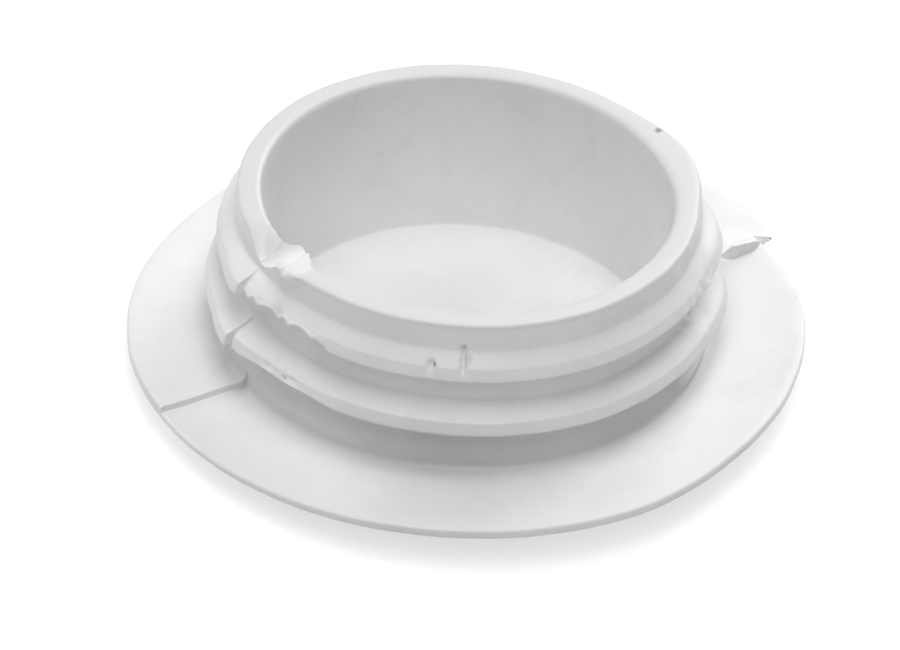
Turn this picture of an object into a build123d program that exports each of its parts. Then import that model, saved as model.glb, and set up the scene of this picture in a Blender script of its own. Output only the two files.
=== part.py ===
from build123d import *
import os

# A moulded plastic hole plug, in millimetres. Z = 0 is the outer face of the head and +Z points
# into the hole. The two slides of the mould meet in the plane Y = 0, so the parting line runs
# along X. The half with Y < 0 is the front half and the half with Y > 0 is the back half.

# head
flange_radius = 17.0
flange_edge = 0.5            # thickness at the rim of the flange
head_depth = 2.15            # outer face to the flange's inner face
head_flat_radius = 8.5       # flat middle of the outer face

# cup
cup_height = 8.1             # flange's inner face to the top of the rim
neck_radius = 11.8           # outside of the wall where it meets the flange
wall_lean = 0.35             # how far the outside leans in up to the rim
rim_wall = 1.2               # thickness of the wall at the rim
bore_draft = 0.3             # how much wider the cup is at the rim than at its floor
floor_thickness = 1.2
floor_bevel = 0.35
rim_outer_bevel = 0.15
rim_inner_bevel = 0.3
neck_round = 0.4

# barbs, with heights above the flange's inner face and reaches beyond the neck's radius
lower_lip_height = 2.55
lower_lip_reach = 1.08
upper_lip_height = 5.4
upper_lip_reach = 0.55
barb_land = 0.6              # height of the steep band above each lip
barb_lean = 0.22             # how far that band leans in over its height
barb_ramp = 0.7              # height of the lead-in slope above the band
lip_undercut = 0.2           # how far the underside falls towards the wall

# parting line
back_rise = 0.25             # the back half of the flange stands this much higher
back_shift = 0.15            # and its barbs stand this much further towards -X
notch_width = 0.35           # notch that breaks the barbs where the slides meet
notch_depth = 0.4

# flash left on the flange at the +X end of the parting line
flash_thickness = 0.18
flash_height = 1.25          # above the flange's inner face
flash_reach = 1.1            # beyond the edge of the flange
flash_root = 4.5             # length of the flash inside the edge

cut_margin = 1.0             # how far the cup's cutting shape passes the rim

parting_level = head_depth - flange_edge
rim_level = head_depth + cup_height
rim_radius = neck_radius - wall_lean
mouth_radius = rim_radius - rim_wall
bore_radius = mouth_radius - bore_draft
lower_lip_radius = neck_radius + lower_lip_reach
upper_lip_radius = neck_radius + upper_lip_reach

def wall_radius(height):
    """Outer radius of the tapering wall at a height above the flange's inner face."""
    return neck_radius - wall_lean * height / cup_height


def barb(lip_radius, lip_height):
    """Points of one barb on the flange's inner face, from its underside up to its ramp's end."""
    ramp_start = lip_height + barb_land
    ramp_end = ramp_start + barb_ramp
    under = lip_height - lip_undercut
    return [
        (wall_radius(under), head_depth + under),
        (lip_radius, head_depth + lip_height),
        (lip_radius - barb_lean, head_depth + ramp_start),
        (wall_radius(ramp_end), head_depth + ramp_end),
    ]

def outer_half(rise):
    """Half of the flange's skin and of the barbed wall, solid to the axis, on the +Y side."""
    flange_level = head_depth + rise
    outline = FilletPolyline(
        (0, parting_level),
        (flange_radius, parting_level),
        (flange_radius, flange_level),
        (neck_radius, flange_level),
        *barb(lower_lip_radius, lower_lip_height),
        *barb(upper_lip_radius, upper_lip_height),
        (rim_radius, rim_level - rim_outer_bevel),
        (rim_radius - rim_outer_bevel, rim_level),
        (0, rim_level),
        radius=[0] * 3 + [neck_round] + [0] * 11,
        close=True,
    )
    return revolve(Plane.XZ * make_face(outline), Axis.Z, 180)

def head():
    """The shallow crown of the head, a cap of a sphere cut off by its flat middle."""
    run = flange_radius**2 - head_flat_radius**2
    crown_centre = (run + parting_level**2) / (2 * parting_level)
    crown_radius = (head_flat_radius**2 + crown_centre**2) ** 0.5
    ball = Pos(0, 0, crown_centre) * Sphere(crown_radius)
    width = 2 * flange_radius
    return ball & Pos(0, 0, parting_level / 2) * Box(width, width, parting_level)

def cup_core():
    """The space inside the cup, with its draft, its bevelled floor corner and its mouth."""
    outline = Polyline(
        (0, floor_thickness),
        (bore_radius - floor_bevel, floor_thickness),
        (bore_radius, floor_thickness + floor_bevel),
        (mouth_radius, rim_level - rim_inner_bevel),
        (mouth_radius + rim_inner_bevel, rim_level),
        (mouth_radius + rim_inner_bevel, rim_level + cut_margin),
        (0, rim_level + cut_margin),
        close=True,
    )
    return revolve(Plane.XZ * make_face(outline), Axis.Z)

def parting_notches():
    """V notches that break both barbs on the parting line, on the -X and +X sides."""
    cuts = []
    for lip_radius, lip_height in (
        (lower_lip_radius, lower_lip_height),
        (upper_lip_radius, upper_lip_height),
    ):
        mouth = 2 * notch_depth
        root = lip_radius - notch_depth
        wedge = Polyline(
            (root, 0), (root + mouth, -notch_width), (root + mouth, notch_width), close=True
        )
        bottom = head_depth + lip_height - lip_undercut
        height = lip_undercut + barb_land + barb_ramp
        cut = Pos(0, 0, bottom) * extrude(make_face(wedge), height)
        cuts += [cut, Rot(0, 0, 180) * cut]
    return cuts


def flash():
    """The thin leaf of flash that stands on the flange and passes its edge, at the +X end."""
    start = flange_radius - flash_root
    tip = flange_radius + flash_reach
    foot = head_depth - flange_edge / 2
    peak = (start + tip) / 2
    outline = [
        ThreePointArc((start, foot), (peak, head_depth + flash_height), (tip, foot)),
        Line((tip, foot), (start, foot)),
    ]
    return extrude(Plane.XZ * make_face(outline), flash_thickness / 2, both=True)


def hole_plug():
    """The whole plug as one solid."""
    front = Rot(0, 0, 180) * outer_half(0)
    back = Pos(-back_shift, 0, 0) * outer_half(back_rise)
    return head() + front + back - cup_core() - parting_notches() + flash()


os.makedirs("parts", exist_ok=True)
export_step(hole_plug(), "parts/hole_plug.step")
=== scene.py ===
import math
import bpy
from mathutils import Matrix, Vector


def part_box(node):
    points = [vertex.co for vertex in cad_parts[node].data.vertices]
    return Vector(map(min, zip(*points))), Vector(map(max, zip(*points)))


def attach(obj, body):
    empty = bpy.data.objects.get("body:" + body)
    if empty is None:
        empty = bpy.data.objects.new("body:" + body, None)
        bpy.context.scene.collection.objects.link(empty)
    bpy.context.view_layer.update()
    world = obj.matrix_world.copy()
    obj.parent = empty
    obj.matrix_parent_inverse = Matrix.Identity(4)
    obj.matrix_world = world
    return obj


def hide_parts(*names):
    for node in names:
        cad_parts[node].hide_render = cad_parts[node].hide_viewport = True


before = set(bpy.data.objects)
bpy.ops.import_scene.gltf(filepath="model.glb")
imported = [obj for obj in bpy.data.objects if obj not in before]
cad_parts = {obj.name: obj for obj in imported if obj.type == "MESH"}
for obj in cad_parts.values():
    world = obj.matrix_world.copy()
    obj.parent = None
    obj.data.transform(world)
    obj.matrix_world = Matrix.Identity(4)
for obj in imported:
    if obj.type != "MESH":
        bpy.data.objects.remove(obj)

from types import SimpleNamespace

import bpy
import numpy as np
from bpy.props import FloatProperty, FloatVectorProperty, IntProperty, PointerProperty
from mathutils import Quaternion, Vector, noise

bl_info = {
    "name": "Plastic hole plug",
    "version": (1, 0, 0),
    "blender": (4, 5, 0),
    "location": "3D View > Sidebar > Hole Plug",
    "description": "Models a worn push-in hole plug, its white plastic and a plain studio",
    "category": "Object",
}

MM = 0.001
NODE = "hole_plug"
BOX_LOW, BOX_HIGH = (Vector(corner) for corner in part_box(NODE))
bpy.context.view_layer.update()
CUP_MIDDLE = (-0.064, 0.181)        # mm, the cup's axis on the flange
TILT_X, TILT_Y = 0.01243, -0.01556  # slope of the flange on the cup


def length(name, description, default_mm):
    """A length property whose default is given in millimetres."""
    return FloatProperty(
        name=name, description=description, default=default_mm * MM,
        subtype="DISTANCE", unit="LENGTH", precision=5,
    )


# ---------------------------------------------------------------- sizes


class PlugSection(bpy.types.PropertyGroup):
    """The turned section of the moulding."""

    flange_radius: length("Flange radius", "Radius of the flange", BOX_HIGH.y / MM)
    flange_edge: length("Flange edge", "Thickness at the rim of the flange", 0.5)
    edge_round: length("Edge round", "Rounding of the flange's edge", 0.16)
    head_depth: length("Head depth", "Outer face to the flange's inner face", 2.15)
    head_flat: length("Head flat", "Radius of the outer face's flat middle", 8.5)
    rim_level: length("Rim level", "Height of the rim above the outer face", BOX_HIGH.z / MM)
    neck_radius: length("Neck radius", "Outside of the wall where it meets the flange", 11.8)
    neck_round: length("Neck round", "Fillet between the wall and the flange", 0.4)
    wall_lean: length("Wall lean", "How far the outside leans in up to the rim", 0.35)
    rim_wall: length("Rim wall", "Thickness of the wall at the rim", 1.2)
    rim_round: length("Rim round", "Rounding of the rim's outer edge", 0.16)
    mouth_round: length("Mouth round", "Rounding of the rim's inner edge", 0.3)
    bore_draft: length("Bore draft", "How much wider the cup is at the rim", 0.3)
    floor_thickness: length("Floor thickness", "Thickness of the cup's floor", 1.2)
    floor_round: length("Floor round", "Rounding of the cup's floor corner", 0.15)
    lower_lip_height: length("Lower lip height", "Lower barb's lip above the flange", 2.55)
    lower_lip_reach: length("Lower lip reach", "Lower barb's lip beyond the neck", 1.08)
    upper_lip_height: length("Upper lip height", "Upper barb's lip above the flange", 5.4)
    upper_lip_reach: length("Upper lip reach", "Upper barb's lip beyond the neck", 0.55)
    barb_land: length("Barb land", "Height of the steep band above each lip", 0.6)
    barb_lean: length("Barb lean", "How far that band leans in", 0.22)
    barb_ramp: length("Barb ramp", "Height of the lead-in slope", 0.7)
    lip_undercut: length("Lip undercut", "Fall of a lip's underside to the wall", 0.2)
    columns: IntProperty(
        name="Columns", description="Steps round the axis", default=600, min=60, max=900
    )


class PlugDamage(bpy.types.PropertyGroup):
    """How far the moulding is out of true, flashed and damaged."""

    back_rise: length("Back rise", "Step of the back half of the flange", 0.25)
    front_drop: length("Front drop", "Drop of the front half at -X", 0.15)
    left_closing: length("Left closing", "How much smaller the step is at -X", 0.08)
    back_shift: length("Back shift", "How far the back half's barbs stand proud", 0.12)
    back_flare: length("Back flare", "How much further they flare at -X", 0.13)
    notch_depth: length("Notch depth", "Depth of the notches in the barbs", 0.25)
    notch_width: length("Notch width", "Half width of those notches", 0.15)
    foot_flare: length("Foot flare", "How far the wall's foot flares", 0.36)
    rim_swell: length("Rim swell", "Bulge of the rim at +X", 0.5)
    upper_swell: length("Upper swell", "Bulge of the upper barb at +X", 0.55)
    lower_swell: length("Lower swell", "Bulge of the lower barb at +X", 0.4)
    upper_flare: length("Upper flare", "Flare of the upper barb at -X", 0.3)
    lower_flare: length("Lower flare", "Flare of the lower barb at -X", 0.35)
    lean_x: length("Lean X", "How far the cup leans along X", -0.12)
    lean_y: length("Lean Y", "How far the cup leans along Y", 0.05)
    front_flat: length("Front flat", "Flattening of the flange at the front", 0.32)
    right_bulge: length("Right bulge", "Bulge of the flange at +X", 0.42)
    back_flat: length("Back flat", "Flattening of the flange at the back", 0.17)
    back_curl: length("Back curl", "Curl of the flange's back edge at +X", 0.25)
    front_curl: length("Front curl", "Curl of the flange's front edge at +X", 0.4)
    web_reach: length("Web reach", "How far the web of flash widens the flange", 1.02)
    web_lift: length("Web lift", "How far its underside is raised", 0.55)
    web_droop: length("Web droop", "How far its tip hangs down", 0.2)
    rim_smear: length("Rim smear", "Fill of the neck below the rim at +X", 0.34)
    smear_radius: length("Smear radius", "Radius of the smear below the lower barb", 12.2)
    crumple: length("Crumple", "Height of the folds in the groove at +X", 0.5)
    tear_depth: length("Tear depth", "Depth of the tear in the rim", 1.1)
    flap_reach: length("Flap reach", "How far the rolled flap overhangs the bore", 0.7)
    rag_lift: length("Rag lift", "How far the ragged lip is torn up", 0.3)
    lip_push: length("Lip push", "How far the lower lip is pushed up", 0.16)
    pit_depth: length("Pit depth", "Depth of the pits above the lower lip", 0.12)
    crack_depth: length("Crack depth", "Depth of the crack and the notch by it", 0.3)
    nick_depth: length("Nick depth", "Depth of the nick in the upper lip", 0.25)
    dent_depth: length("Dent depth", "Depth of the ripples under the rim", 0.1)
    wall_wave: length("Wall wave", "Waviness of the wall and the flange's edge", 0.014)
    bore_wave: length("Bore wave", "Waviness of the bore", 0.02)
    leaf_height: length("Leaf height", "Height of the leaf of flash", 1.1)
    leaf_bend: length("Leaf bend", "How far the leaf is pushed to the front", 0.95)
    leaf_thickness: length("Leaf thickness", "Thickness of the leaf of flash", 0.17)


class PlugFinish(bpy.types.PropertyGroup):
    """The white plastic and what handling has left on it."""

    plastic: FloatVectorProperty(
        name="Plastic", description="Colour of the clean plastic", subtype="COLOR",
        size=4, min=0, max=1, default=(0.85, 0.85, 0.85, 1),
    )
    mottle_size: length("Mottle size", "Size of the cloudy patches in the plastic", 3.2)
    mottle_depth: FloatProperty(
        name="Mottle depth", description="How much darker the patches are",
        default=0.05, min=0, max=1, subtype="FACTOR",
    )
    roughness: FloatProperty(
        name="Roughness", description="Roughness of the clean plastic",
        default=0.4, min=0, max=1, subtype="FACTOR",
    )
    grain_size: length("Grain size", "Size of the fine unevenness of the surface", 0.55)
    grain_height: length("Grain height", "Height of that unevenness", 0.02)


def power(name, description, default):
    """A lamp's power in watts."""
    return FloatProperty(
        name=name, description=description, default=default, min=0, unit="POWER", precision=4
    )


class StudioSetup(bpy.types.PropertyGroup):
    """Floor, lights and camera."""

    lamp_size: length("Lamp size", "Side of each softbox", 300)
    lamp_distance: length("Lamp distance", "Softboxes to the plug", 500)
    top_power: power("Top", "Softbox overhead", 1.11)
    back_right_power: power("Back right", "Softbox behind to the right", 1.23)
    back_left_power: power("Back left", "Softbox behind to the left", 0.708)
    front_power: power("Front", "Softbox in front", 0.834)
    world_strength: FloatProperty(
        name="World strength", description="Light from all around", default=0.06, min=0
    )
    floor_size: length("Floor size", "Side of the square floor", 1600)
    camera_distance: length("Camera distance", "Camera to the foot of the cup's axis", 264.9)
    camera_azimuth: FloatProperty(
        name="Camera azimuth", description="Where the camera stands round the axis",
        default=math.radians(-120.5), subtype="ANGLE", unit="ROTATION",
    )
    camera_elevation: FloatProperty(
        name="Camera elevation", description="How far up the camera stands",
        default=math.radians(35.965), subtype="ANGLE", unit="ROTATION",
    )
    camera_roll: FloatProperty(
        name="Camera roll", description="Turn of the camera about its own axis",
        default=math.radians(3.805), subtype="ANGLE", unit="ROTATION",
    )
    lens: FloatProperty(
        name="Lens", description="Focal length on a 36 mm wide sensor", default=209.96,
        subtype="DISTANCE_CAMERA", unit="CAMERA",
    )


# ---------------------------------------------------------------- modelling helpers


def deselect_all():
    """Object mode, with nothing selected."""
    if bpy.context.object and bpy.context.object.mode != "OBJECT":
        bpy.ops.object.mode_set(mode="OBJECT")
    bpy.ops.object.select_all(action="DESELECT")


def draw_outline(name, points):
    """A chain of edges through the points, drawn by extruding one vertex from place to place."""
    deselect_all()
    bpy.ops.mesh.primitive_plane_add(size=MM, location=points[0])
    outline = bpy.context.object
    outline.name = name
    bpy.ops.object.transform_apply(location=True, rotation=True, scale=True)
    bpy.ops.object.mode_set(mode="EDIT")
    bpy.ops.mesh.select_mode(type="VERT")
    bpy.ops.mesh.select_all(action="SELECT")
    bpy.ops.mesh.merge(type="CENTER")
    for start, end in zip(points, points[1:]):
        step = Vector(end) - Vector(start)
        bpy.ops.mesh.extrude_vertices_move(TRANSFORM_OT_translate={"value": step})
    bpy.ops.object.mode_set(mode="OBJECT")
    return outline


def select_in_edit_mode(piece, kind, chosen):
    """Edit mode with only the listed vertices, edges or faces selected."""
    bpy.ops.object.mode_set(mode="EDIT")
    bpy.ops.mesh.select_mode(type={"vertices": "VERT", "edges": "EDGE", "polygons": "FACE"}[kind])
    bpy.ops.mesh.select_all(action="DESELECT")
    bpy.ops.object.mode_set(mode="OBJECT")
    elements = getattr(piece.data, kind)
    flags = np.zeros(len(elements), bool)
    flags[list(chosen)] = True
    elements.foreach_set("select", flags)
    bpy.ops.object.mode_set(mode="EDIT")


def round_corner(outline, place, radius, segments):
    """Rounds one corner of a drawn outline with an arc of the given radius."""
    mesh = outline.data
    corner = min(mesh.vertices, key=lambda v: (v.co - Vector(place)).length)
    arms = []
    for edge in mesh.edges:
        if corner.index in edge.vertices:
            other = edge.vertices[0] if edge.vertices[1] == corner.index else edge.vertices[1]
            arms.append((mesh.vertices[other].co - corner.co).normalized())
    turn = math.pi - arms[0].angle(arms[1])
    select_in_edit_mode(outline, "vertices", [corner.index])
    bpy.ops.mesh.bevel(
        offset=radius * math.tan(turn / 2), offset_type="OFFSET",
        segments=segments, affect="VERTICES", profile=0.5,
    )
    bpy.ops.object.mode_set(mode="OBJECT")


def divide_edges(outline, longest):
    """Cuts each edge of the outline into equal parts no longer than longest(middle of the edge)."""
    mesh = outline.data
    wanted = {}
    for edge in mesh.edges:
        a, b = (mesh.vertices[i].co for i in edge.vertices)
        cuts = math.ceil((a - b).length / longest((a + b) / 2) - 1e-6) - 1
        if cuts > 0:
            wanted.setdefault(cuts, []).append(((a + b) / 2).copy())
    for cuts, middles in sorted(wanted.items()):
        chosen = []
        for edge in mesh.edges:
            a, b = (mesh.vertices[i].co for i in edge.vertices)
            middle = (a + b) / 2
            if any((middle - m).length < 1e-7 for m in middles):
                chosen.append(edge.index)
        select_in_edit_mode(outline, "edges", chosen)
        bpy.ops.mesh.subdivide(number_cuts=cuts)
        bpy.ops.object.mode_set(mode="OBJECT")


# ---------------------------------------------------------------- the moulding


def wall_radius(section, level):
    """Outside of the tapering wall at a level."""
    height = section.rim_level - section.head_depth
    return section.neck_radius - section.wall_lean * (level - section.head_depth) / height


def barb_corners(section, lip_height, lip_reach):
    """Section of one barb from its underside up, with the radius of each corner."""
    lip = section.head_depth + lip_height
    ramp_start = lip + section.barb_land
    ramp_end = ramp_start + section.barb_ramp
    under = lip - section.lip_undercut
    lip_radius = section.neck_radius + lip_reach
    return [
        ((wall_radius(section, under), under), 0.2 * MM),
        ((lip_radius, lip), 0.06 * MM),
        ((lip_radius - section.barb_lean, ramp_start), 0.12 * MM),
        ((wall_radius(section, ramp_end), ramp_end), 0.25 * MM),
    ]


def crown_points(section, steps):
    """Points up the shallow dome of the head, from its flat middle to just short of its edge."""
    rise = section.head_depth - section.flange_edge
    run = section.flange_radius**2 - section.head_flat**2
    centre = (run + rise**2) / (2 * rise)
    reach = math.hypot(section.head_flat, centre)
    radii = [
        section.head_flat + (section.flange_radius - section.head_flat) * step / steps
        for step in range(1, steps)
    ]
    return [((r, centre - math.sqrt(reach**2 - r**2)), 0) for r in radii]


def section_corners(section):
    """The whole section from the head's outer face, over the rim and down to the cup's floor."""
    parting_level = section.head_depth - section.flange_edge
    rim_radius = section.neck_radius - section.wall_lean
    mouth_radius = rim_radius - section.rim_wall
    bore_radius = mouth_radius - section.bore_draft
    return [
        ((0, 0), 0),
        ((section.head_flat, 0), 0),
        *crown_points(section, 6),
        ((section.flange_radius, parting_level), section.edge_round),
        ((section.flange_radius, section.head_depth), section.edge_round),
        ((section.neck_radius, section.head_depth), section.neck_round),
        *barb_corners(section, section.lower_lip_height, section.lower_lip_reach),
        *barb_corners(section, section.upper_lip_height, section.upper_lip_reach),
        ((rim_radius, section.rim_level), section.rim_round),
        ((mouth_radius, section.rim_level), section.mouth_round),
        ((bore_radius, section.floor_thickness), section.floor_round),
        ((0, section.floor_thickness), 0),
    ]


def turned_body(section):
    """The section spun round the axis into a closed body."""
    corners = section_corners(section)
    body = draw_outline("plug_moulding", [(r, 0, z) for (r, z), _ in corners])
    for (r, z), radius in corners:
        if radius:
            round_corner(body, (r, 0, z), radius, 2 if radius < 0.14 * MM else 3)

    def longest(middle):
        if middle.z < section.head_depth - section.flange_edge and (
            middle.x > section.head_flat or middle.z < section.floor_thickness / 2
        ):
            return 2.2 * MM
        if middle.z < section.floor_thickness + 0.01 * MM:
            return 1.6 * MM
        if middle.x < section.neck_radius - section.rim_wall - section.wall_lean:
            return 0.5 * MM
        if middle.x > section.neck_radius + section.lower_lip_reach:
            return 0.35 * MM
        return 0.2 * MM

    divide_edges(body, longest)
    screw = body.modifiers.new("turn", "SCREW")
    screw.steps = screw.render_steps = section.columns
    screw.use_merge_vertices = True
    screw.merge_threshold = 1e-6
    bpy.ops.object.modifier_apply(modifier=screw.name)
    bpy.ops.object.mode_set(mode="EDIT")
    bpy.ops.mesh.select_all(action="SELECT")
    bpy.ops.mesh.remove_doubles(threshold=1e-6)
    bpy.ops.mesh.normals_make_consistent(inside=False)
    bpy.ops.object.mode_set(mode="OBJECT")
    return body


# ---------------------------------------------------------------- wear and unevenness


class Skin:
    """The moulding's points about the cup's axis: azimuth in degrees, radius and level in mm."""

    def __init__(self, piece):
        self.piece = piece
        points = np.empty(len(piece.data.vertices) * 3)
        piece.data.vertices.foreach_get("co", points)
        x, y, z = points.reshape(-1, 3).T / MM
        self.azimuth = np.degrees(np.arctan2(y, x))
        self.radius = np.hypot(x, y)
        self.level = z

    def flat(self):
        """The points' X and Y in mm."""
        turn = np.radians(self.azimuth)
        return self.radius * np.cos(turn), self.radius * np.sin(turn)

    def shift(self, dx, dy):
        """Moves the points sideways, in mm."""
        x, y = self.flat()
        x, y = x + dx, y + dy
        self.azimuth, self.radius = np.degrees(np.arctan2(y, x)), np.hypot(x, y)

    def write(self):
        """Puts the points back into the mesh."""
        x, y = self.flat()
        points = np.stack([x, y, self.level], axis=1) * MM
        self.piece.data.vertices.foreach_set("co", points.ravel())
        self.piece.data.update()


def ease(value, start, end):
    """0 before the start, 1 past the end and smooth between them."""
    part = np.clip((value - start) / (end - start), 0, 1)
    return part * part * (3 - 2 * part)


def hump(value, middle, reach):
    """1 in the middle, falling smoothly to 0 a reach away on each side."""
    return 1 - ease(np.abs(value - middle), 0, reach)


def angle_from(azimuth, middle):
    """Signed angle in degrees from a middle azimuth."""
    return (azimuth - middle + 180) % 360 - 180


def round_hump(skin, middle, reach):
    """A hump round the axis, with its middle and its reach in degrees."""
    return hump(angle_from(skin.azimuth, middle), 0, reach)


def in_mm(group):
    """The lengths of a property group, in mm."""
    lengths = [p.identifier for p in group.bl_rna.properties if getattr(p, "unit", "") == "LENGTH"]
    return SimpleNamespace(**{name: getattr(group, name) / MM for name in lengths})


def bump_noise(*coordinates):
    """Smooth noise at each row of the coordinates."""
    return np.array([noise.noise(Vector(place)) for place in zip(*coordinates)])


def wall_weight(skin, size):
    """1 on the outside of the cup's wall and 0 on the flange, the underside and the bore."""
    inside = size.neck_radius - 0.9
    up = ease(skin.level, size.head_depth + 0.1, size.head_depth + 0.9)
    return up * ease(skin.radius, inside, inside + 0.3)


def barb_weight(skin, size, lip_height):
    """1 on the lip and band of a barb, fading to 0 up its ramp and into its underside."""
    lip = size.head_depth + lip_height
    land = lip + size.barb_land
    rise = ease(skin.level, lip - 0.45, lip - 0.05)
    fall = 1 - ease(skin.level, land, land + size.barb_ramp)
    return rise * fall * wall_weight(skin, size)


def flange_weight(skin, size):
    """0 on the cup, 1 at the edge of the flange."""
    on_flange = skin.level < size.head_depth + 0.4
    return on_flange * ease(skin.radius, size.neck_radius + 0.6, size.flange_radius)


def sector(skin, start, rise, end, fall):
    """1 between two azimuths, easing in after the start and out after the end."""
    into = ease(angle_from(skin.azimuth, start), 0, rise)
    return into * (1 - ease(angle_from(skin.azimuth, end), 0, fall))


def lean_cup(skin, size, worn):
    """The cup sits a little off the flange's middle and leans."""
    up = ease(skin.level, size.floor_thickness - 0.3, size.rim_level)
    skin.shift(worn.lean_x * up, worn.lean_y * up)


def swell_lips(skin, size, worn):
    """The barbs and the rim bulge where they were forced, and flare at the parting line."""
    upper = barb_weight(skin, size, size.upper_lip_height)
    lower = barb_weight(skin, size, size.lower_lip_height)
    rim = wall_weight(skin, size) * ease(skin.level, size.rim_level - 1.4, size.rim_level - 0.4)
    skin.radius = (
        skin.radius
        + worn.rim_swell * rim * round_hump(skin, -8, 26)
        + worn.upper_swell * upper * round_hump(skin, -24, 26)
        + worn.lower_swell * lower * round_hump(skin, -28, 26)
        + worn.upper_flare * upper * round_hump(skin, 180, 16)
        + worn.lower_flare * lower * round_hump(skin, 180, 14)
    )


def part_halves(skin, size, worn):
    """The back half of the mould stood proud, and left a step along the parting line."""
    x, y = skin.flat()
    back, left = y > 0.02, x < 0
    upper = barb_weight(skin, size, size.upper_lip_height)
    lower = barb_weight(skin, size, size.lower_lip_height)
    proud = back * left * (worn.back_shift + worn.back_flare * round_hump(skin, 180, 25))
    skin.shift(-proud * np.maximum(upper, lower), 0)
    top = skin.level > size.head_depth - size.flange_edge / 2
    flange = (skin.level < size.head_depth + 0.4) & top & (skin.radius > 11)
    closed = (1 - ease(x, 14.2, 15.2)) * round_hump(skin, 0, 30) * (x > 0)
    rise = (worn.back_rise - worn.left_closing * left) * (1 - closed)
    drop = worn.front_drop * round_hump(skin, 180, 60)
    skin.level = skin.level + flange * np.where(back, rise, -drop)


def close_up_step(skin, columns):
    """Draws the first column of the back half up to the parting line, so its step is crisp."""
    step = 360 / columns
    for side in (0, 180):
        away = angle_from(skin.azimuth, side) * (1 if side == 0 else -1)
        beside = (away > 0.2 * step) & (away < 1.5 * step)
        drawn = side + (0.25 * step if side == 0 else -0.25 * step)
        skin.azimuth = np.where(beside & (skin.radius > 1), drawn, skin.azimuth)


def cut_notches(skin, size, worn):
    """Notches that break both barbs on the parting line."""
    y = skin.flat()[1]
    for height in (size.lower_lip_height, size.upper_lip_height):
        barb = barb_weight(skin, size, height)
        depth = worn.notch_depth * hump(y, -0.06, worn.notch_width)
        root = np.minimum(skin.radius, wall_radius(size, skin.level))
        cut = np.maximum(skin.radius - depth * barb, root)
        skin.radius = np.where(barb > 0, cut, skin.radius)


def on_flange_bottom(skin, size):
    """1 on the underside of the flange's edge."""
    parting = size.head_depth - size.flange_edge
    return 1 - ease(skin.level, parting + 0.1, parting + 0.4)


def warp_flange(skin, size, worn):
    """The flange is tilted on the cup, out of round, curled, and widened by a web of flash."""
    x, y = skin.flat()
    edge = flange_weight(skin, size)
    bottom = on_flange_bottom(skin, size)
    skin.radius = (
        skin.radius
        - worn.front_flat * edge * round_hump(skin, -62, 30)
        + worn.right_bulge * edge * round_hump(skin, -17, 24)
        - worn.back_flat * edge * round_hump(skin, 122, 30)
    )
    head = size.head_depth
    low = (skin.level < head + 0.9) & (skin.radius > size.head_flat)
    tilt = low * ease(skin.radius, size.head_flat, size.neck_radius)
    tilt = tilt * (1 - ease(skin.level, head + 0.1, head + 0.9))
    skin.level = skin.level + tilt * (TILT_X * x + TILT_Y * y - 0.03)
    back = (y > 0.02) & (x > 0)
    web = back * ease(skin.radius, size.flange_radius - 1.6, size.flange_radius - 0.3)
    skin.shift(worn.web_reach * web * np.cos(np.radians(skin.azimuth)) ** 2, 0)
    droop = worn.web_droop * web * hump(skin.azimuth, 0, 6)
    skin.level = skin.level + worn.web_lift * web * bottom - droop
    curl_back = back * (1 - ease(skin.azimuth, 14, 60)) * edge**1.5 * ease(skin.azimuth, 0, 8)
    curl_front = ~back * hump(skin.azimuth, -4, 18) * edge**1.5
    skin.level = skin.level + worn.back_curl * curl_back + worn.front_curl * curl_front


def off_centre(skin, size):
    """Moves the cup off the flange's middle."""
    near = 1 - ease(skin.radius, size.neck_radius + 1.2, size.flange_radius - 1)
    above = skin.level > size.head_depth + 0.4
    weight = np.maximum(near, above) * ease(skin.level, 0.4, 1.2)
    skin.shift(CUP_MIDDLE[0] * weight, CUP_MIDDLE[1] * weight)


def widen_foot(skin, size, worn):
    """The wall flares into its foot on the flange."""
    head, neck = size.head_depth, size.neck_radius
    near = (skin.radius > neck - 0.6) * (1 - ease(skin.radius, neck + 0.4, neck + 2.2))
    low = (1 - ease(skin.level, head + 0.15, head + 1.9)) * (skin.level > head - 0.3)
    skin.radius = skin.radius + worn.foot_flare * near * low


def crush_right(skin, size, worn):
    """The +X side, pressed in service: rim, ramp and undercut smeared into each other."""
    wall = wall_weight(skin, size)
    neck = wall * hump(skin.level, size.rim_level - 1.15, 1.1)
    skin.radius = skin.radius + worn.rim_smear * neck * round_hump(skin, -12, 34)
    head = size.head_depth
    under = (skin.level > head + 0.02) & (skin.level < head + 2.3) & (skin.radius > 10.9)
    slope = worn.smear_radius + 0.2 * (skin.level - head)
    smear = sector(skin, -58, 5, -14, 12) * under
    skin.radius = skin.radius + smear * np.maximum(slope - skin.radius, 0)
    folds = bump_noise(skin.azimuth * 0.35, skin.level * 1.9, np.full(skin.level.shape, 3.0))
    groove = wall * hump(skin.level, head + 4.6, 1.9) * round_hump(skin, -48, 11)
    skin.radius = skin.radius + groove * (0.12 + worn.crumple * folds)


def tear_rim(skin, size, worn):
    """The rim is torn at -X: its outside slopes away and a rolled flap overhangs the bore."""
    rim = size.rim_level
    on_rim = skin.radius > size.neck_radius - 2.4
    top = ease(skin.level, rim - 0.9, rim - 0.1) * on_rim
    depth = worn.tear_depth * round_hump(skin, -179, 10) * ease(skin.radius, 9.9, 11.3)
    skin.level = np.where(on_rim, np.minimum(skin.level, rim - depth), skin.level)
    lumps = bump_noise(skin.azimuth * 0.42, skin.radius * 2.2, skin.level * 2.2)
    flap = top * round_hump(skin, -173, 9)
    inside = 1 - ease(skin.radius, 10.4, 11.0)
    skin.radius = skin.radius - flap * inside * (worn.flap_reach + 0.4 * lumps)
    skin.level = skin.level + flap * (0.22 * lumps - 0.1)
    lump = top * round_hump(skin, -168, 7) * ease(skin.radius, 10.6, 11.2)
    skin.radius = skin.radius + lump * (0.3 + 0.3 * lumps)


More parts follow.
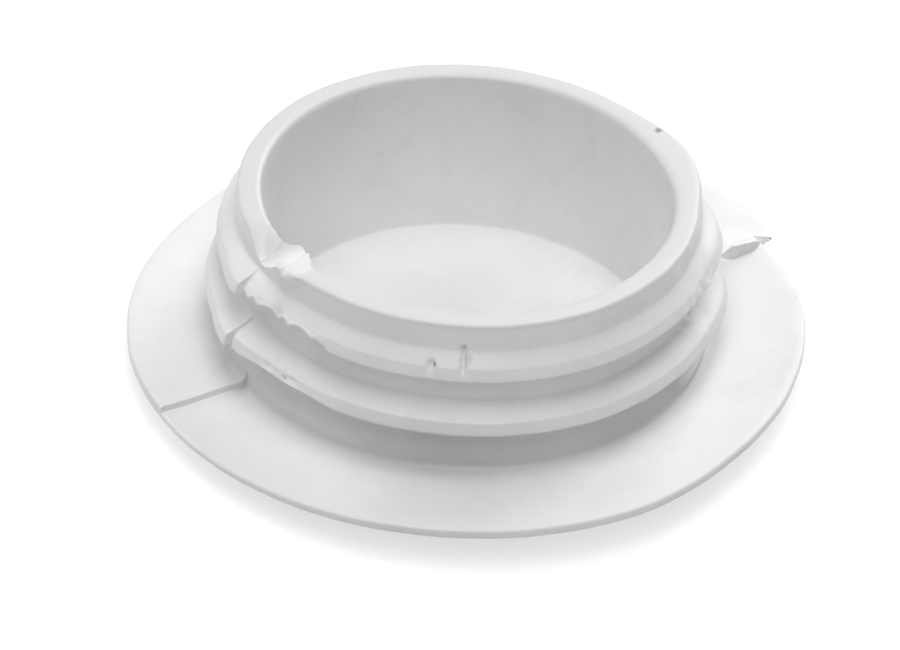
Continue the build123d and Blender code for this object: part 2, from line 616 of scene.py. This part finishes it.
def rag_lips(skin, size, worn):
    """Ragged underside of the upper barb near -X, pits in the lower one, and small nicks."""
    upper = size.head_depth + size.upper_lip_height
    lower = size.head_depth + size.lower_lip_height
    wall = wall_weight(skin, size)
    teeth = 0.5 + 0.5 * np.sin(skin.azimuth * 1.25 + 1.3 * np.sin(skin.azimuth * 0.61))
    lip = wall * hump(skin.level, upper + 0.05, 0.6) * sector(skin, 178, 5, -157, 6)
    skin.level = skin.level + lip * (worn.rag_lift + 0.22 * teeth)
    skin.radius = skin.radius - 0.1 * lip * teeth
    pits = np.maximum(round_hump(skin, -167.0, 1.6), round_hump(skin, -160.0, 3.0))
    pits = pits * hump(skin.level, lower + 0.35, 0.3)
    skin.radius = skin.radius - worn.pit_depth * wall * pits
    pushed = sector(skin, -178, 8, -156, 10) * hump(skin.level, lower, 0.5)
    skin.level = skin.level + worn.lip_push * wall * pushed
    crack = round_hump(skin, -119, 1.1) * wall * ease(skin.level, upper + 0.2, upper + 0.6)
    crack = crack * (1 - ease(skin.level, upper + 1.3, upper + 1.7))
    skin.radius = skin.radius - worn.crack_depth * crack
    notch = wall * round_hump(skin, -126.5, 1.2) * hump(skin.level, upper + 0.6, 0.35)
    skin.radius = skin.radius - worn.crack_depth * notch
    nick = wall * round_hump(skin, -152.8, 1.2) * hump(skin.level, upper, 0.3)
    skin.radius = skin.radius - worn.nick_depth * nick
    dent = round_hump(skin, -79, 11) * wall * hump(skin.level, upper + 1.5, 0.5)
    ripple = 0.5 + 0.5 * np.sin(skin.azimuth * 1.9)
    skin.radius = skin.radius - worn.dent_depth * dent * ripple


def unevenness(skin, size, worn):
    """A slight waviness of the whole wall and of the flange's edge."""
    a = np.radians(skin.azimuth)
    wave = np.sin(7 * a + 0.6) + 0.7 * np.sin(13 * a + 2.1) + 0.5 * np.sin(29 * a + 0.9)
    wavy = np.maximum(wall_weight(skin, size), flange_weight(skin, size))
    skin.radius = skin.radius + worn.wall_wave * wave * wavy
    inner = (skin.radius < size.neck_radius - 1.0) & (skin.level > 2)
    skin.radius = skin.radius + worn.bore_wave * inner * np.sin(5 * a + skin.level * 0.4)


def keep_in_box(skin):
    """Holds the points inside the solid's box."""
    x, y = skin.flat()
    x = np.clip(x, BOX_LOW.x / MM + 0.01, BOX_HIGH.x / MM - 0.01)
    y = np.clip(y, BOX_LOW.y / MM + 0.01, BOX_HIGH.y / MM - 0.01)
    skin.azimuth, skin.radius = np.degrees(np.arctan2(y, x)), np.hypot(x, y)
    skin.level = np.clip(skin.level, BOX_LOW.z / MM, BOX_HIGH.z / MM)


def wear(piece, section, damage):
    """All of the moulding's unevenness and damage, in the order they build on each other."""
    skin, size, worn = Skin(piece), in_mm(section), in_mm(damage)
    for change in (widen_foot, swell_lips, crush_right, rag_lips, tear_rim, unevenness, cut_notches):
        change(skin, size, worn)
    close_up_step(skin, section.columns)
    for change in (part_halves, warp_flange, lean_cup):
        change(skin, size, worn)
    off_centre(skin, size)
    keep_in_box(skin)
    skin.write()


# ---------------------------------------------------------------- flash


def flash_height(x, worn):
    """Height of the leaf of flash above the flange at a distance from the axis, in mm."""
    return worn.leaf_height * ease(x, 14.5, 15.1) * (1 - ease(x, 15.9, 18.2))


def flash_bend(x, worn):
    """How far the leaf of flash is pushed to the front, in mm."""
    return -worn.leaf_bend * ease(x, 14.3, 15.1) * (1 - ease(x, 16.2, 18.0))


def flash_leaf(section, damage):
    """The thin leaf of flash that stands on the flange at the +X end of the parting line."""
    size, worn = in_mm(section), in_mm(damage)
    foot = size.head_depth - size.flange_edge / 2
    rows, row_height = 6, 0.1
    places = np.linspace(14.5, 17.95, 36)
    leaf = draw_outline("flash_leaf", [(x * MM, 0, foot * MM) for x in places])
    bpy.ops.object.mode_set(mode="EDIT")
    bpy.ops.mesh.select_all(action="SELECT")
    for _ in range(rows):
        step = (0, 0, row_height * MM)
        bpy.ops.mesh.extrude_edges_move(TRANSFORM_OT_translate={"value": step})
    bpy.ops.object.mode_set(mode="OBJECT")
    for vertex in leaf.data.vertices:
        x, z = vertex.co.x / MM, vertex.co.z / MM
        part = (z - foot) / (row_height * rows)
        ragged = 0.06 * noise.noise(Vector((x * 3.1, 7, 2)))
        height = flash_height(x, worn)
        top = height + (ragged + 0.12) * min(1, height)
        raised = 0.4 * ease(x, 16.4, 17.6)
        vertex.co.z = (foot + raised + (size.flange_edge / 2 + top - raised) * part) * MM
        vertex.co.y = (flash_bend(x, worn) + 0.1 * part * math.sin(1.9 * x)) * MM
    solid = leaf.modifiers.new("thickness", "SOLIDIFY")
    solid.thickness = damage.leaf_thickness
    solid.offset = 0
    bpy.ops.object.modifier_apply(modifier=solid.name)
    return leaf


def shade(piece, angle):
    """Smooth shading that keeps edges sharper than the angle."""
    deselect_all()
    piece.select_set(True)
    bpy.context.view_layer.objects.active = piece
    bpy.ops.object.shade_smooth_by_angle(angle=angle)


class HOLEPLUG_OT_moulding(bpy.types.Operator):
    """Model the worn moulding that stands for the plain solid"""

    bl_idname = "holeplug.moulding"
    bl_label = "Moulding"

    def execute(self, context):
        scene = context.scene
        body = turned_body(scene.plug_section)
        leaf = flash_leaf(scene.plug_section, scene.plug_damage)
        wear(body, scene.plug_section, scene.plug_damage)
        deselect_all()
        leaf.select_set(True)
        body.select_set(True)
        context.view_layer.objects.active = body
        bpy.ops.object.join()
        shade(body, math.radians(35))
        body.data.materials.clear()
        body.data.materials.append(white_plastic(scene.plug_finish))
        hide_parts(NODE)
        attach(body, "root")
        return {"FINISHED"}


# ---------------------------------------------------------------- material


def mottle_group():
    """Cloudy patches, fine grain and handling marks, in object coordinates."""
    group = bpy.data.node_groups.new("Plastic Mottle", "ShaderNodeTree")
    face = group.interface
    for name, kind in (("Position", "Vector"), ("Patch Scale", "Float"), ("Grain Scale", "Float")):
        face.new_socket(name=name, in_out="INPUT", socket_type=f"NodeSocket{kind}")
    for name in ("Patches", "Grain", "Scuffs"):
        face.new_socket(name=name, in_out="OUTPUT", socket_type="NodeSocketFloat")
    nodes, links = group.nodes, group.links
    source, result = nodes.new("NodeGroupInput"), nodes.new("NodeGroupOutput")
    patches, grain, scuffs = (nodes.new("ShaderNodeTexNoise") for _ in range(3))
    for texture in (patches, grain, scuffs):
        links.new(source.outputs["Position"], texture.inputs["Vector"])
    links.new(source.outputs["Patch Scale"], patches.inputs["Scale"])
    links.new(source.outputs["Grain Scale"], grain.inputs["Scale"])
    patches.inputs["Detail"].default_value = 5
    patches.inputs["Roughness"].default_value = 0.62
    grain.inputs["Detail"].default_value = 3
    scuffs.inputs["Scale"].default_value = 420
    scuffs.inputs["Detail"].default_value = 6
    scuffs.inputs["Distortion"].default_value = 1.4
    level = nodes.new("ShaderNodeMapRange")
    level.inputs["From Min"].default_value = 0.35
    level.inputs["From Max"].default_value = 0.7
    links.new(patches.outputs["Fac"], level.inputs["Value"])
    links.new(level.outputs["Result"], result.inputs["Patches"])
    links.new(grain.outputs["Fac"], result.inputs["Grain"])
    worn = nodes.new("ShaderNodeMapRange")
    worn.inputs["From Min"].default_value = 0.58
    worn.inputs["From Max"].default_value = 0.72
    links.new(scuffs.outputs["Fac"], worn.inputs["Value"])
    links.new(worn.outputs["Result"], result.inputs["Scuffs"])
    return group


def spot_group():
    """A ragged spot, 1 inside and 0 outside, of a given place and reach: dirty marks where it darkens,
    whitened plastic and painted glints where it lightens.
    """
    group = bpy.data.node_groups.new("Dirt Spot", "ShaderNodeTree")
    face = group.interface
    for name, kind in (("Position", "Vector"), ("Place", "Vector"), ("Reach", "Float"), ("So Far", "Float")):
        face.new_socket(name=name, in_out="INPUT", socket_type=f"NodeSocket{kind}")
    face.new_socket(name="Dirt", in_out="OUTPUT", socket_type="NodeSocketFloat")
    nodes, links = group.nodes, group.links
    source, result = nodes.new("NodeGroupInput"), nodes.new("NodeGroupOutput")
    ragged = nodes.new("ShaderNodeTexNoise")
    ragged.inputs["Scale"].default_value = 2200
    ragged.inputs["Detail"].default_value = 2
    links.new(source.outputs["Position"], ragged.inputs["Vector"])
    away = nodes.new("ShaderNodeVectorMath")
    away.operation = "DISTANCE"
    links.new(source.outputs["Position"], away.inputs[0])
    links.new(source.outputs["Place"], away.inputs[1])
    share = nodes.new("ShaderNodeMath")
    share.operation = "DIVIDE"
    links.new(away.outputs["Value"], share.inputs[0])
    links.new(source.outputs["Reach"], share.inputs[1])
    shaken = nodes.new("ShaderNodeMath")
    shaken.operation = "ADD"
    links.new(share.outputs[0], shaken.inputs[0])
    links.new(ragged.outputs["Fac"], shaken.inputs[1])
    edge = nodes.new("ShaderNodeMapRange")
    edge.interpolation_type = "SMOOTHSTEP"
    edge.inputs["From Min"].default_value = 1.7
    edge.inputs["From Max"].default_value = 1.1
    links.new(shaken.outputs[0], edge.inputs["Value"])
    most = nodes.new("ShaderNodeMath")
    most.operation = "MAXIMUM"
    links.new(source.outputs["So Far"], most.inputs[0])
    links.new(edge.outputs["Result"], most.inputs[1])
    links.new(most.outputs[0], result.inputs["Dirt"])
    return group


def round_axis(azimuth, radius, level):
    """A place in object coordinates from its azimuth about the cup's axis and its sizes in mm."""
    turn = math.radians(azimuth)
    x = CUP_MIDDLE[0] + radius * math.cos(turn)
    y = CUP_MIDDLE[1] + radius * math.sin(turn)
    return (x * MM, y * MM, level * MM)


# spots on the plastic: azimuth, radius, level and reach in mm
SPECKS = (
    (156.5, 12.3, 7.7, 0.24),
    (4.5, 11.3, 10.1, 0.28),
    (-167.2, 12.85, 5.15, 0.11),
    (-166.4, 12.85, 5.12, 0.1),
    (-162.4, 12.85, 5.16, 0.11),
    (-161.6, 12.85, 5.13, 0.12),
    (-160.8, 12.85, 5.1, 0.11),
    (-160.0, 12.85, 5.07, 0.09),
    (-126.5, 12.1, 8.3, 0.18),
)
SMUDGES = (
    (-119.0, 11.9, 8.6, 0.35),
    (-168.0, 12.3, 8.0, 0.5),
)
# lighter spots on the torn flap and in the crumpled groove at +X: whitened plastic, partly painted glints
WHITENED_AND_PAINTED_GLINTS = (
    (-173.0, 10.4, 10.2, 1.1),
    (-168.0, 11.1, 10.0, 0.8),
    (-44.0, 12.6, 7.5, 0.5),
    (-50.0, 12.2, 6.2, 0.7),
    (-47.0, 12.4, 5.6, 0.6),
    (-42.0, 12.5, 6.4, 0.4),
)


def white_plastic(finish):
    """Semi-gloss white plastic: cloudy, finely uneven, scuffed and dirty in a few places, with painted shade
    on the rim's top and at the wall's foot in front, and whitened spots that paint glints.
    """
    material = bpy.data.materials.new("white_plastic")
    material.use_nodes = True
    tree = material.node_tree
    nodes, links = tree.nodes, tree.links
    shader = nodes["Principled BSDF"]
    place = nodes.new("ShaderNodeTexCoord")
    mottle = nodes.new("ShaderNodeGroup")
    mottle.node_tree = mottle_group()
    links.new(place.outputs["Object"], mottle.inputs["Position"])
    mottle.inputs["Patch Scale"].default_value = 1 / finish.mottle_size
    mottle.inputs["Grain Scale"].default_value = 1 / finish.grain_size
    spot = spot_group()

    # dark, dirty spots, and lighter spots of whitened plastic with painted glints
    def dirt_and_glint_spots(spots):
        so_far = None
        for azimuth, radius, level, reach in spots:
            node = nodes.new("ShaderNodeGroup")
            node.node_tree = spot
            links.new(place.outputs["Object"], node.inputs["Position"])
            node.inputs["Place"].default_value = round_axis(azimuth, radius, level)
            node.inputs["Reach"].default_value = reach * MM
            if so_far:
                links.new(so_far, node.inputs["So Far"])
            so_far = node.outputs["Dirt"]
        return so_far

    # painted shade: the plastic is darker on the rim's top, to hold down the light it catches from above
    def rim_top_painted_shade(place):
        apart = nodes.new("ShaderNodeSeparateXYZ")
        links.new(place.outputs["Object"], apart.inputs[0])
        high = nodes.new("ShaderNodeMapRange")
        high.inputs["From Min"].default_value = 9.9 * MM
        high.inputs["From Max"].default_value = 10.2 * MM
        links.new(apart.outputs["Z"], high.inputs["Value"])
        return high.outputs["Result"]

    # painted shadow: the cup's soft shadow on the flange in front, darkest near the wall's foot
    def painted_foot_shadow(place):
        away = nodes.new("ShaderNodeVectorMath")
        away.operation = "DISTANCE"
        away.inputs[1].default_value = round_axis(-121, 13.3, 0.9)
        links.new(place.outputs["Object"], away.inputs[0])
        near = nodes.new("ShaderNodeMapRange")
        near.interpolation_type = "SMOOTHSTEP"
        near.inputs["From Min"].default_value = 7 * MM
        near.inputs["From Max"].default_value = 1.2 * MM
        links.new(away.outputs["Value"], near.inputs["Value"])
        return near.outputs["Result"]

    def darken(colour, amount, share, tint):
        scaled = nodes.new("ShaderNodeMath")
        scaled.operation = "MULTIPLY"
        scaled.inputs[1].default_value = share
        links.new(amount, scaled.inputs[0])
        mix = nodes.new("ShaderNodeMix")
        mix.data_type = "RGBA"
        mix.inputs[7].default_value = tint
        links.new(scaled.outputs[0], mix.inputs[0])
        if colour is None:
            mix.inputs[6].default_value = finish.plastic
        else:
            links.new(colour, mix.inputs[6])
        return mix.outputs[2]

    colour = darken(None, mottle.outputs["Patches"], 1.0, tuple(
        c * (1 - finish.mottle_depth) for c in finish.plastic[:3]) + (1,))
    colour = darken(colour, mottle.outputs["Scuffs"], 0.12, (0.6, 0.6, 0.6, 1))
    # painted shade on the rim's top
    colour = darken(colour, rim_top_painted_shade(place), 0.7, (0.7, 0.7, 0.7, 1))
    # painted shadow of the cup on the flange in front
    colour = darken(colour, painted_foot_shadow(place), 0.2, (0.35, 0.35, 0.35, 1))
    colour = darken(colour, dirt_and_glint_spots(SMUDGES), 0.2, (0.3, 0.3, 0.3, 1))
    # whitened plastic and painted glints
    colour = darken(colour, dirt_and_glint_spots(WHITENED_AND_PAINTED_GLINTS), 0.6, (0.92, 0.92, 0.92, 1))
    colour = darken(colour, dirt_and_glint_spots(SPECKS), 0.7, (0.14, 0.14, 0.14, 1))
    links.new(colour, shader.inputs["Base Color"])
    dull = nodes.new("ShaderNodeMapRange")
    dull.inputs["To Min"].default_value = finish.roughness
    dull.inputs["To Max"].default_value = finish.roughness + 0.2
    links.new(mottle.outputs["Scuffs"], dull.inputs["Value"])
    links.new(dull.outputs["Result"], shader.inputs["Roughness"])
    bump = nodes.new("ShaderNodeBump")
    bump.inputs["Strength"].default_value = 0.5
    bump.inputs["Distance"].default_value = finish.grain_height
    links.new(mottle.outputs["Grain"], bump.inputs["Height"])
    links.new(bump.outputs["Normal"], shader.inputs["Normal"])
    return material


def floor_material():
    """White paper that is pure white to the eye and still takes a soft shadow."""
    material = bpy.data.materials.new("white_floor")
    material.use_nodes = True
    tree = material.node_tree
    nodes, links = tree.nodes, tree.links
    nodes.clear()
    output = nodes.new("ShaderNodeOutputMaterial")
    paper = nodes.new("ShaderNodeBsdfDiffuse")
    paper.inputs["Color"].default_value = (0.8, 0.8, 0.8, 1)
    dim = nodes.new("ShaderNodeBsdfDiffuse")
    dim.inputs["Color"].default_value = (0.5, 0.5, 0.5, 1)
    glow = nodes.new("ShaderNodeEmission")
    glow.inputs["Strength"].default_value = 0.62
    seen = nodes.new("ShaderNodeAddShader")
    links.new(dim.outputs[0], seen.inputs[0])
    links.new(glow.outputs[0], seen.inputs[1])
    path = nodes.new("ShaderNodeLightPath")
    direct = nodes.new("ShaderNodeMath")
    direct.operation = "MAXIMUM"
    links.new(path.outputs["Is Camera Ray"], direct.inputs[0])
    links.new(path.outputs["Is Glossy Ray"], direct.inputs[1])
    either = nodes.new("ShaderNodeMath")
    either.operation = "MAXIMUM"
    links.new(direct.outputs[0], either.inputs[0])
    links.new(path.outputs["Is Transmission Ray"], either.inputs[1])
    mix = nodes.new("ShaderNodeMixShader")
    links.new(either.outputs[0], mix.inputs[0])
    links.new(paper.outputs[0], mix.inputs[1])
    links.new(seen.outputs[0], mix.inputs[2])
    links.new(mix.outputs[0], output.inputs["Surface"])
    return material


# ---------------------------------------------------------------- stage


def soft_light(name, azimuth, elevation, watts, studio):
    """A square softbox that faces the middle of the plug from an azimuth and elevation in degrees."""
    aim = Vector((0, 0, BOX_HIGH.z / 2))
    a, e = math.radians(azimuth), math.radians(elevation)
    away = Vector((math.cos(e) * math.cos(a), math.cos(e) * math.sin(a), math.sin(e)))
    deselect_all()
    bpy.ops.object.light_add(type="AREA", location=aim + away * studio.lamp_distance)
    lamp = bpy.context.object
    lamp.name = name
    lamp.rotation_euler = (-away).to_track_quat("-Z", "Y").to_euler()
    lamp.data.size = studio.lamp_size
    lamp.data.energy = watts


def place_camera(studio, section):
    """The camera, aimed from its azimuth and elevation and rolled about its own axis."""
    foot = Vector((CUP_MIDDLE[0] * MM, CUP_MIDDLE[1] * MM, section.head_depth))
    e, a = studio.camera_elevation, studio.camera_azimuth
    away = Vector((math.cos(e) * math.cos(a), math.cos(e) * math.sin(a), math.sin(e)))
    deselect_all()
    bpy.ops.object.camera_add(location=foot + away * studio.camera_distance)
    camera = bpy.context.object
    camera.name = "studio_camera"
    right = Vector((0, 0, 1)).cross(away).normalized()
    up = away.cross(right)
    look = (-away + math.radians(-0.129) * right + math.radians(-0.039) * up).normalized()
    turn = look.to_track_quat("-Z", "Y")
    roll = Vector((0, 0, 1))
    camera.rotation_mode = "QUATERNION"
    camera.rotation_quaternion = turn @ Quaternion(roll, studio.camera_roll)
    camera.data.lens = studio.lens
    camera.data.sensor_width = 36
    camera.data.clip_start = 0.01
    bpy.context.scene.camera = camera


class HOLEPLUG_OT_studio(bpy.types.Operator):
    """Set up the floor, the soft lights and the camera"""

    bl_idname = "holeplug.studio"
    bl_label = "Studio"

    def execute(self, context):
        scene = context.scene
        studio = scene.plug_studio
        deselect_all()
        bpy.ops.mesh.primitive_plane_add(size=studio.floor_size, location=(0, 0, 0))
        floor = context.object
        floor.name = "studio_floor"
        floor.data.materials.append(floor_material())
        world = bpy.data.worlds.new("studio_world")
        world.use_nodes = True
        scene.world = world
        background = world.node_tree.nodes["Background"]
        background.inputs["Color"].default_value = (1, 1, 1, 1)
        background.inputs["Strength"].default_value = studio.world_strength
        soft_light("top_softbox", 0, 90, studio.top_power, studio)
        soft_light("back_right_softbox", 30, 30, studio.back_right_power, studio)
        soft_light("back_left_softbox", 120, 30, studio.back_left_power, studio)
        soft_light("front_softbox", -120, 60, studio.front_power, studio)
        place_camera(studio, scene.plug_section)
        scene.view_settings.view_transform = "Standard"
        return {"FINISHED"}


class HOLEPLUG_PT_panel(bpy.types.Panel):
    """Lists the plug's pieces and sizes"""

    bl_idname = "HOLEPLUG_PT_panel"
    bl_label = "Hole Plug"
    bl_space_type = "VIEW_3D"
    bl_region_type = "UI"
    bl_category = "Hole Plug"

    def draw(self, context):
        layout = self.layout
        layout.operator(HOLEPLUG_OT_moulding.bl_idname)
        layout.operator(HOLEPLUG_OT_studio.bl_idname)
        scene = context.scene
        for group in (scene.plug_section, scene.plug_damage, scene.plug_finish, scene.plug_studio):
            box = layout.box()
            for name in type(group).__annotations__:
                box.prop(group, name)


CLASSES = (
    PlugSection,
    PlugDamage,
    PlugFinish,
    StudioSetup,
    HOLEPLUG_OT_moulding,
    HOLEPLUG_OT_studio,
    HOLEPLUG_PT_panel,
)


def register():
    for cls in CLASSES:
        bpy.utils.register_class(cls)
    bpy.types.Scene.plug_section = PointerProperty(type=PlugSection)
    bpy.types.Scene.plug_damage = PointerProperty(type=PlugDamage)
    bpy.types.Scene.plug_finish = PointerProperty(type=PlugFinish)
    bpy.types.Scene.plug_studio = PointerProperty(type=StudioSetup)


def unregister():
    del bpy.types.Scene.plug_studio
    del bpy.types.Scene.plug_finish
    del bpy.types.Scene.plug_damage
    del bpy.types.Scene.plug_section
    for cls in reversed(CLASSES):
        bpy.utils.unregister_class(cls)


def main():
    register()
    bpy.ops.holeplug.moulding()
    bpy.ops.holeplug.studio()


if __name__ == "__main__":
    main()
